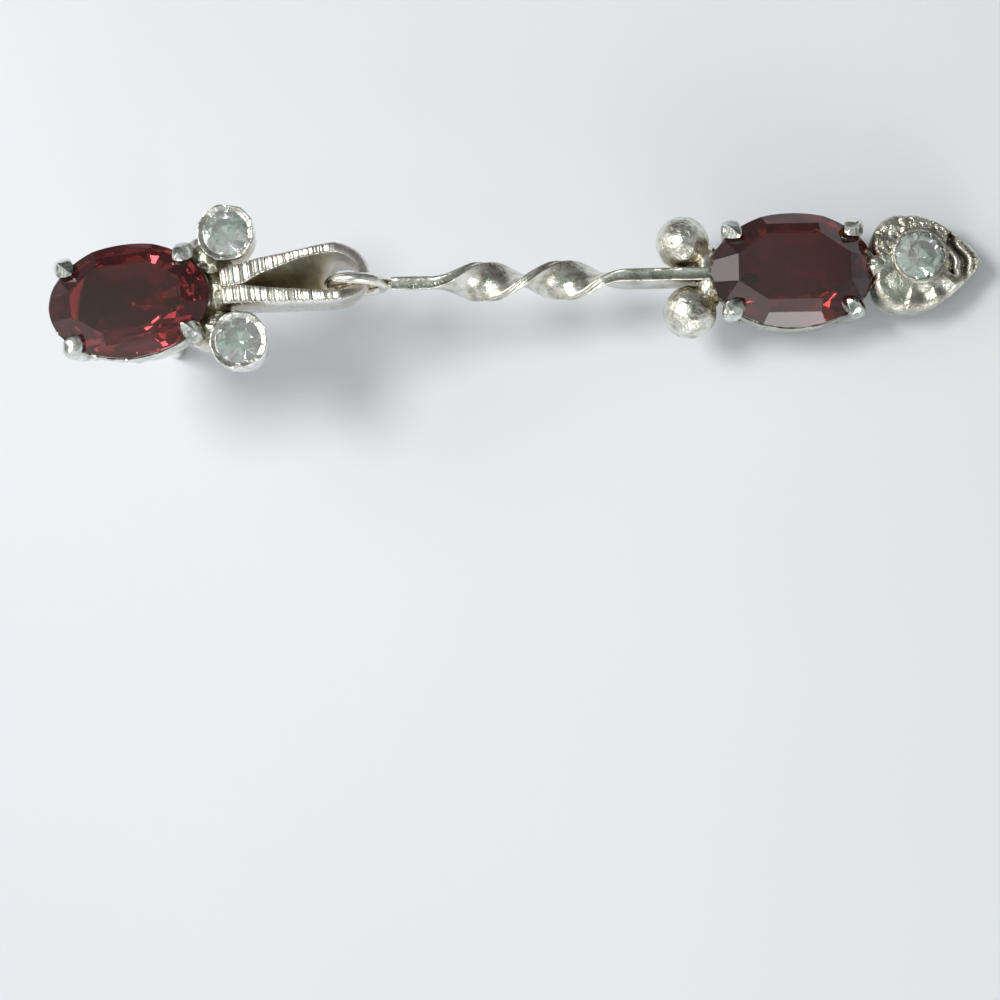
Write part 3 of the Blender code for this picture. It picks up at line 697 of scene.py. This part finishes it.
def post_mesh():
    """The plain hidden post on its round plate, with a fine groove near its end."""
    profile = [
        (0.0, -POST_LENGTH + 0.01),
        (POST_RADIUS - 0.10, -POST_LENGTH + 0.01),
        (POST_RADIUS - 0.02, -POST_LENGTH + 0.14),
        (POST_RADIUS - 0.01, -POST_LENGTH + 1.30),
        (POST_RADIUS - 0.09, -POST_LENGTH + 1.42),
        (POST_RADIUS - 0.09, -POST_LENGTH + 1.60),
        (POST_RADIUS - 0.01, -POST_LENGTH + 1.72),
        (POST_RADIUS - 0.01, PLATE_BOTTOM - 0.20),
        (POST_RADIUS + 0.12, PLATE_BOTTOM - 0.03),
        (POST_RADIUS + 0.30, PLATE_BOTTOM + 0.01),
        (PLATE_RADIUS - 0.08, PLATE_BOTTOM + 0.01),
        (PLATE_RADIUS, PLATE_BOTTOM + 0.08),
        (PLATE_RADIUS, PLATE_TOP - 0.08),
        (PLATE_RADIUS - 0.08, PLATE_TOP),
        (0.0, PLATE_TOP),
    ]
    form = bmesh.new()
    points = [form.verts.new((radius, 0.0, height)) for radius, height in profile]
    edges = [form.edges.new(pair) for pair in zip(points, points[1:])]
    bmesh.ops.spin(form, geom=points + edges, angle=math.tau, steps=64, axis=(0.0, 0.0, 1.0),
                   cent=(0.0, 0.0, 0.0))
    bmesh.ops.remove_doubles(form, verts=form.verts, dist=1e-4)
    return made_mesh("post", form)


def ring_mesh():
    rows = []
    steps = 96
    for index in range(steps):
        angle = math.tau * index / steps
        wire = RING_WIRE * (0.97 + 0.03 * math.sin(angle * 3.0 + 0.6))
        row = []
        for side in range(WIRE_SIDES):
            turn = math.tau * side / WIRE_SIDES
            radius = RING_RADIUS + wire * math.cos(turn)
            height = MIDDLE_HEIGHT + radius * math.sin(angle)
            row.append(Vector((radius * math.cos(angle), wire * math.sin(turn), height)))
        rows.append(row)
    return rows_mesh("ring", rows, closed=True)


def neck_mesh():
    """The short soldered neck, waisted between the ring and the strip."""
    rows = []
    start = RING_RADIUS + 0.05
    end = STRIP_START + 0.10
    steps = 12
    for index in range(steps + 1):
        share = index / steps
        radius = 0.20 + 0.07 * abs(share * 2.0 - 1.0) ** 2
        x = start + (end - start) * share
        row = []
        for side in range(WIRE_SIDES):
            turn = math.tau * side / WIRE_SIDES
            row.append(Vector((x, radius * math.cos(turn), MIDDLE_HEIGHT + radius * math.sin(turn))))
        rows.append(row)
    return rows_mesh("neck", rows)


def twist_share(share):
    """The share of the full turn that is done; it starts and ends gently."""
    full = 1.0 - TWIST_EASE
    if share < TWIST_EASE:
        return share * share / (2.0 * TWIST_EASE) / full
    if share > 1.0 - TWIST_EASE:
        return 1.0 - (1.0 - share) ** 2 / (2.0 * TWIST_EASE) / full
    return (share - TWIST_EASE / 2.0) / full


def bar_section(half_thick, half_width):
    """The strip's section: flat faces, hollow edges and soft corners."""
    soft = 0.07
    section = []
    for corner_x, corner_y, first in ((1, 1, 0.0), (-1, 1, 90.0), (-1, -1, 180.0), (1, -1, 270.0)):
        for step in range(4):
            angle = math.radians(first + step * 30.0)
            section.append((corner_x * (half_thick - soft) + soft * math.cos(angle),
                            corner_y * (half_width - soft) + soft * math.sin(angle)))
        if corner_x == corner_y:
            for x in (0.5, 0.0, -0.5):
                hollow = BAR_HOLLOW * (1.0 - x * x)
                section.append((corner_x * half_thick * x, corner_y * (half_width - hollow)))
        else:
            for y in (0.75, 0.5, 0.25, 0.0, -0.25, -0.5, -0.75):
                section.append((corner_x * half_thick, corner_y * half_width * y))
    return section


def bar_mesh():
    """The flat strip, turned once, a little uneven from filing."""
    half_width = STRIP_WIDTH / 2.0 - 0.01
    section = bar_section(STRIP_THICKNESS / 2.0 - 0.01, half_width)
    rows = []
    steps = 320
    for index in range(steps + 1):
        x = STRIP_START + (STRIP_END - STRIP_START) * index / steps
        share = min(max((x - TWIST_START) / (TWIST_END - TWIST_START), 0.0), 1.0)
        angle = STRIP_LEAN - (math.tau + STRIP_LEAN) * twist_share(share)
        wave = 1.0 - 0.03 * (1.0 + noise.noise(Vector((x * 1.1, 3.0, 0.0))))
        thick = 1.12 - 0.05 * (1.0 + noise.noise(Vector((x * 1.7, 0.0, 7.0))))
        cushion = BAR_CUSHION * math.sin(math.pi * share) ** 0.5
        row = []
        for across, up in section:
            across *= thick * (1.0 - cushion * (up / half_width) ** 2)
            up *= wave
            row.append(Vector((x, across * math.cos(angle) - up * math.sin(angle),
                               MIDDLE_HEIGHT + across * math.sin(angle) + up * math.cos(angle))))
        rows.append(row)
    return rows_mesh("bar", rows)


def ball_mesh(name, seed):
    form = bmesh.new()
    bmesh.ops.create_icosphere(form, subdivisions=6, radius=BALL_RADIUS - 0.02)
    dented = roughen(made_mesh(name, form), 0.030, 1.1, seed)
    return roughen(dented, 0.016, 3.6, seed + 1.0)


def heart_radius(angle):
    """How far the heart's edge is from the stone's middle, in a direction."""
    return HEART_EDGE[int(round(math.degrees(angle))) % 360]


def heart_outline():
    """The heart's edge as in the part: two lobes, a cleft and a point."""
    half = HEART_HALF_WIDTH - 0.02
    centre_y = half - HEART_LOBE_RADIUS
    points = [(HEART_TIP_X - 0.02, 0.0)]
    steps = 12
    lobe_end = HEART_LOBE_X + HEART_LOBE_RADIUS * 0.35
    for index in range(1, steps):
        share = index / steps
        x = HEART_TIP_X + (lobe_end - HEART_TIP_X) * share
        points.append((x, half * math.sin(share * math.pi / 2.0) ** 0.85))
    for index in range(steps + 1):
        angle = math.radians(75.0 + 125.0 * index / steps)
        x = HEART_LOBE_X + HEART_LOBE_RADIUS * math.cos(angle)
        points.append((x, centre_y + HEART_LOBE_RADIUS * math.sin(angle)))
    points.append((HEART_CLEFT_X, 0.0))
    whole = points + [(x, -y) for x, y in reversed(points[1:-1])]
    return [(x, y + HEART_Y) for x, y in whole]


def edge_distances(outline, centre):
    """The outline's distance from a centre inside it, for every whole degree."""
    distances = []
    for degree in range(360):
        way = Vector((math.cos(math.radians(degree)), math.sin(math.radians(degree))))
        nearest = None
        for first, second in zip(outline, outline[1:] + outline[:1]):
            start = Vector(first) - Vector(centre)
            along = Vector(second) - Vector(first)
            cross = way.x * along.y - way.y * along.x
            if abs(cross) < 1e-9:
                continue
            reach = (start.x * along.y - start.y * along.x) / cross
            share = (start.x * way.y - start.y * way.x) / cross
            if reach > 0.0 and -1e-6 <= share <= 1.0 + 1e-6:
                nearest = reach if nearest is None else min(nearest, reach)
        distances.append(nearest)
    return distances


HEART_EDGE = edge_distances(heart_outline(), HEART_STONE)


def heart_height(x, y, share):
    """The carved top of the heart: softened border, cuts across the point, ribs and nicks."""
    height = HEART_TOP - 0.02 - 0.22 * max(0.0, share - 0.70) ** 2 / 0.09
    slanted = x + (y - HEART_Y) * 0.40
    angle = math.degrees(math.atan2(y - HEART_STONE[1], x - HEART_STONE[0]))
    if -30.0 < angle < 36.0:
        for centre, depth, width in HEART_CUTS:
            curve = centre + 0.12 * math.sin(y * 5.0)
            height -= depth * math.exp(-((slanted - curve) / width) ** 2)
    for first, second in zip(HEART_RIDGES, HEART_RIDGES[1:]):
        if first < angle < second:
            arch = math.sin(math.pi * (angle - first) / (second - first))
            height -= 0.20 * arch * min(1.0, share * 3.0)
    if -150.0 < angle < HEART_RIDGES[0]:
        height -= 0.10 * min(1.0, share * 2.0) * min(1.0, (HEART_RIDGES[0] - angle) / 5.0)
    if 20.0 < angle < 178.0:
        value = noise.fractal(Vector((x * 2.4, y * 2.4, 1.3)), 0.7, 2.0, 4)
        height += 0.09 * value - 0.06
    return height


def heart_row(angle):
    """One section of the heart: the stone's hole, its rim, the carved top and the outer wall."""
    edge = heart_radius(angle)
    way = Vector((math.cos(angle), math.sin(angle)))
    bottom = HEART_TOP - HEART_THICKNESS + 0.01
    rim_top = HEART_TOP + HEART_RIM_HEIGHT - 0.01
    inner_radius = HEART_STONE_RADIUS - 0.06
    profile = [
        (HEART_STONE_RADIUS * 0.6, bottom),
        (HEART_STONE_RADIUS * 0.6, bottom + 0.5),
        (HEART_STONE_RADIUS + 0.04, rim_top - 0.36),
        (HEART_STONE_RADIUS + 0.05, rim_top - 0.20),
        (inner_radius, rim_top - 0.06),
        (inner_radius + 0.05, rim_top),
        (inner_radius + 0.13, rim_top - 0.02),
        (inner_radius + 0.18, rim_top - 0.12),
    ]
    start = inner_radius + 0.24
    steps = 26
    for step in range(steps + 1):
        share = step / steps
        radius = start + (edge - start) * share
        x = HEART_STONE[0] + way.x * radius
        y = HEART_STONE[1] + way.y * radius
        profile.append((radius, heart_height(x, y, share)))
    lip = heart_height(HEART_STONE[0] + way.x * edge, HEART_STONE[1] + way.y * edge, 1.0)
    profile.extend([
        (edge, lip - 0.15),
        (edge, bottom + 0.5),
        (edge - 0.03, bottom + 0.12),
        (edge - 0.12, bottom),
    ])
    row = []
    for radius, height in profile:
        row.append(Vector((HEART_STONE[0] + way.x * radius, HEART_STONE[1] + way.y * radius, height)))
    return row


def heart_mesh():
    around = 300
    rows = [heart_row(math.tau * index / around) for index in range(around)]
    mesh = rows_mesh("heart", rows, closed=True)
    face_outward(mesh)
    return mesh


def make_stud():
    cast = silver("cast_silver")
    finish_piece("stud_collet", collet_mesh("collet", 3), STUD, cast, node="stud_frame")
    finish_piece("stud_claws", claws_mesh("claws", 11), STUD, silver("claw_silver"), 25.0)
    x, y = SIDE_BEZEL
    for name, sign, seed in (("upper", 1, 21), ("lower", -1, 34)):
        bezel = moved(bezel_mesh("bezel", seed), x, sign * y, 0.0)
        finish_piece(f"{name}_bezel", bezel, STUD, silver("rim_silver"), 28.0)
        place = (x - 1.08, sign * y * 0.66, MIDDLE_HEIGHT)
        finish_piece(f"{name}_solder", blob("solder", SOLDER, place, 0.09, seed), STUD, cast, 60.0)
    size = (SOLDER[0] * 0.7, SOLDER[1], SOLDER[2])
    middle = blob("solder", size, (LOOP_START, 0.0, MIDDLE_HEIGHT), 0.06, 2.0)
    finish_piece("middle_solder", middle, STUD, cast, 60.0)
    loop = finish_piece("teardrop_loop", loop_mesh(), STUD, silver("engraved_silver"), 40.0)
    # Painted shade: the loop's inner walls get a darker, rougher silver
    shade_loop_inside(loop, silver("shaded_dull_silver"))
    finish_piece("ear_post", post_mesh(), STUD, silver("cut_silver"), 30.0)


def make_drop():
    smooth = silver("smooth_silver")
    wire = silver("wire_silver")
    setting = DROP @ Matrix.Translation((DROP_STONE_X, 0.0, 0.0))
    collet = collet_mesh("collet", 8)
    finish_piece("drop_collet", collet, setting, silver("cast_silver"), node="drop_frame")
    finish_piece("drop_claws", claws_mesh("claws", 47), setting, silver("claw_silver"), 25.0)
    finish_piece("drop_ring", joined("ring", [ring_mesh(), neck_mesh()]), DROP, wire, 50.0)
    finish_piece("twisted_bar", bar_mesh(), DROP, smooth, 50.0)
    for name, sign, seed in (("upper", 1, 5.0), ("lower", -1, 9.5)):
        x = BALL_X - sign * BALL_STAGGER
        ball = moved(ball_mesh("ball", seed), x, sign * BALL_Y, MIDDLE_HEIGHT)
        finish_piece(f"{name}_ball", ball, DROP, silver("ball_silver"), 60.0)
    saddle = blob("saddle", SADDLE, (STRIP_END, 0.0, MIDDLE_HEIGHT), 0.08, 4.0)
    finish_piece("ball_solder", saddle, DROP, wire, 60.0)
    place = ((DROP_STONE_X + 3.5 + HEART_CLEFT_X) / 2.0, HEART_Y / 2.0, 2.52)
    bridge = blob("bridge", (1.5, 1.5, 1.5), place, 0.05, 6.0)
    finish_piece("heart_solder", bridge, DROP, smooth, 60.0)
    finish_piece("heart", heart_mesh(), DROP, silver("carved_silver"), 30.0)


def cut_flat(form, point, normal):
    """Grinds one flat onto a stone: what lies beyond the plane goes, and the cut is closed."""
    whole = form.verts[:] + form.edges[:] + form.faces[:]
    cut = bmesh.ops.bisect_plane(form, geom=whole, plane_co=point, plane_no=normal, dist=1e-5,
                                 clear_outer=True)
    edges = [item for item in cut["geom_cut"] if isinstance(item, bmesh.types.BMEdge)]
    if edges:
        bmesh.ops.contextual_create(form, geom=edges)


def cut_slope(form, outward, reach, height, run, drop):
    """Grinds a slope that starts at a reach and a height and falls by drop over run; a rise is negative."""
    point = Vector((*(outward * reach), height))
    upward = run if drop > 0.0 else -run
    normal = Vector((outward.x * abs(drop), outward.y * abs(drop), upward)).normalized()
    cut_flat(form, point, normal)


def stone_blank(half_length, half_width, top, bottom):
    form = bmesh.new()
    bmesh.ops.create_cone(form, cap_ends=True, segments=96, radius1=1.0, radius2=1.0, depth=1.0)
    bmesh.ops.scale(form, vec=(half_length, half_width, top + bottom), verts=form.verts)
    bmesh.ops.translate(form, vec=(0.0, 0.0, (top - bottom) / 2.0), verts=form.verts)
    return form


def ways_round(count, share):
    for index in range(count):
        angle = math.tau * (index + share) / count
        yield Vector((math.cos(angle), math.sin(angle)))


def oval_reach(way):
    """How far the oval girdle reaches in a direction."""
    return math.hypot(OVAL_LENGTH / 2.0 * way.x, OVAL_WIDTH / 2.0 * way.y)


def cut_crown_side(form, outward, corner, steeper=1.0):
    """One crown flat, from a corner of the table to the girdle; the long sides get two steps."""
    reach = oval_reach(outward)
    edge = outward.dot(corner)
    height = OVAL_GIRDLE / 2.0
    if abs(outward.y) > 0.99:
        step = reach - (reach - edge) * CROWN_STEP
        rise = OVAL_CROWN * CROWN_STEP_RISE
        cut_slope(form, outward, reach, height, reach - step, rise)
        cut_slope(form, outward, step, height + rise, step - edge, OVAL_CROWN - rise)
    else:
        cut_slope(form, outward, reach, height, (reach - edge) / steeper, OVAL_CROWN)


def oval_stone_mesh(name):
    """A mixed cut: an eight-sided table, crown flats from its sides and corners, steps below."""
    half_girdle = OVAL_GIRDLE / 2.0
    top = half_girdle + OVAL_CROWN
    bottom = half_girdle + OVAL_PAVILION
    form = stone_blank(OVAL_LENGTH / 2.0, OVAL_WIDTH / 2.0, top, bottom)
    corners = []
    for x, y in TABLE_CORNERS:
        corners.append(Vector((x, y)))
    for x, y in reversed(TABLE_CORNERS):
        corners.append(Vector((-x, y)))
    corners.extend([-corner for corner in corners])
    sides = []
    for first, second in zip(corners, corners[1:] + corners[:1]):
        along = second - first
        sides.append((Vector((along.y, -along.x)).normalized(), first))
    for index, (way, corner) in enumerate(sides):
        cut_crown_side(form, way, corner)
        before = sides[index - 1][0]
        if max(abs(way.y), abs(before.y)) > 0.99:
            continue
        middle = (way + before).normalized()
        cut_crown_side(form, middle, corner)
        for side in (way, before):
            cut_crown_side(form, (side * 2.0 + middle).normalized(), corner, 1.5)
            cut_crown_side(form, (side + middle * 2.0).normalized(), corner, 1.5)
    for outward in ways_round(16, 0.5):
        reach = oval_reach(outward)
        for (start, depth), (end, end_depth) in zip(OVAL_STEPS, OVAL_STEPS[1:]):
            height = -half_girdle - OVAL_PAVILION * depth
            drop = OVAL_PAVILION * (depth - end_depth)
            cut_slope(form, outward, reach * start, height, reach * (start - end), drop)
    return made_mesh(name, form)


def round_stone_mesh(name, radius):
    """A round brilliant with its table, stars, kites, halves and lower facets."""
    crown = radius * ROUND_CROWN
    pavilion = radius * ROUND_PAVILION
    half_girdle = radius * ROUND_GIRDLE / 2.0
    form = stone_blank(radius, radius, half_girdle + crown, half_girdle + pavilion)
    for outward in ways_round(8, 0.0):
        cut_slope(form, outward, radius, half_girdle, radius * 0.46, crown)
        cut_slope(form, outward, radius, -half_girdle, radius, -pavilion)
    for outward in ways_round(8, 0.5):
        cut_slope(form, outward, radius * 0.53, half_girdle + crown, radius * 0.74, crown)
    for share in (0.25, 0.75):
        for outward in ways_round(8, share):
            cut_slope(form, outward, radius, half_girdle, radius * 0.36, crown)
            cut_slope(form, outward, radius, -half_girdle, radius * 0.93, -pavilion)
    return made_mesh(name, form)


def dress_stones():
    bright_red = red_stone("bright_garnet", (0.23, 0.020, 0.023), (0.38, 0.042, 0.048))
    dark_red = red_stone("dark_garnet", (0.15, 0.011, 0.011), (0.24, 0.021, 0.021))
    clear = clear_stone()
    garnets = (("stud_garnet", STUD, 0.0, bright_red), ("drop_garnet", DROP, DROP_STONE_X, dark_red))
    for name, plane, x, red in garnets:
        place = plane @ Matrix.Translation((x, 0.0, GIRDLE_HEIGHT))
        finish_piece(name + "_cut", oval_stone_mesh(name), place, red, 1.0, node=name)
    places = (("upper_side_stone", STUD, SIDE_BEZEL[0], SIDE_BEZEL[1], SIDE_STONE_RADIUS, 9.0, 0.0),
              ("lower_side_stone", STUD, SIDE_BEZEL[0], -SIDE_BEZEL[1], SIDE_STONE_RADIUS, 31.0, 2.0),
              ("heart_stone", DROP, *HEART_STONE, HEART_STONE_RADIUS, 17.0, 5.0))
    for name, plane, x, y, radius, turn, lean in places:
        cad = frame["nodes"][name]
        to_plane = plane.inverted() @ cad.matrix_world
        top = max((to_plane @ vertex.co).z for vertex in cad.data.vertices)
        height = top - radius * (ROUND_CROWN + ROUND_GIRDLE / 2.0)
        place = plane @ Matrix.Translation((x, y, height)) @ Matrix.Rotation(math.radians(lean), 4, "Y")
        place = place @ Matrix.Rotation(math.radians(turn), 4, "Z")
        mesh = round_stone_mesh(name, radius)
        finish_piece(name + "_cut", mesh, place, clear, 1.0, node=name)


def add_camera():
    normal = Vector((math.sin(CAMERA_LEAN), -math.sin(CAMERA_TILT), 0.0))
    normal.z = math.sqrt(1.0 - normal.x ** 2 - normal.y ** 2)
    right = Vector((math.cos(CAMERA_ROLL), -math.sin(CAMERA_ROLL), 0.0))
    right = (right - normal * right.dot(normal)).normalized()
    up = normal.cross(right)
    place = Vector((VIEW_X, VIEW_Y, VIEW_HEIGHT)) + normal * CAMERA_DISTANCE
    data = bpy.data.cameras.new("camera")
    data.sensor_width = SENSOR_WIDTH
    data.lens = SENSOR_WIDTH * CAMERA_DISTANCE * PIXELS_PER_MM / PHOTO_PIXELS
    data.clip_start = 0.001
    camera = linked("camera", data)
    turn = DROP.to_3x3().normalized() @ Matrix((right, up, normal)).transposed()
    camera.matrix_world = Matrix.Translation(DROP @ place) @ turn.to_4x4()
    bpy.context.scene.camera = camera


def add_floor():
    form = bmesh.new()
    bmesh.ops.create_grid(form, x_segments=8, y_segments=8, size=0.6)
    mesh = made_mesh("floor", form)
    mesh.materials.append(floor_material())
    floor = linked("floor", mesh)


def add_light(name, place, size, power, colour):
    data = bpy.data.lights.new(name, "AREA")
    data.shape = "DISK"
    data.size = size
    data.energy = power
    data.color = colour
    light = linked(name, data)
    light.location = place
    light.rotation_euler = (-Vector(place)).to_track_quat("-Z", "Y").to_euler()


def add_studio():
    """A soft room of light: greenish overhead, with a bright band half way up. It is brighter
    before the earring than beyond it, and broken into lighter and darker panels."""
    nodes = Nodes(bpy.data.worlds.new("studio"), "Background")
    bpy.context.scene.world = nodes.owner
    where = nodes.add("ShaderNodeTexCoord").outputs["Generated"]
    split = nodes.add("ShaderNodeSeparateXYZ", (("Vector", where),))
    nodes.set("Color", nodes.ramp(split.outputs["Z"], WORLD_STOPS))
    side = nodes.add("ShaderNodeVectorMath", ((0, where), (1, BRIGHT_SIDE)), operation="DOT_PRODUCT")
    sides = nodes.span(side.outputs["Value"], -0.8, 0.8, WORLD_STRENGTH * 0.35, WORLD_STRENGTH * 1.5)
    panels = nodes.span(nodes.noise(where, PANEL_SCALE, 2.0, 0.5), 0.44, 0.58, 0.62, 1.60)
    strength = nodes.add("ShaderNodeMath", ((0, sides), (1, panels)), operation="MULTIPLY")
    nodes.set("Strength", strength.outputs["Value"])
    for values in LIGHTS:
        add_light(*values)
    bpy.context.scene.view_settings.view_transform = "Standard"


add_camera()
make_stud()
make_drop()
dress_stones()
add_floor()
add_studio()
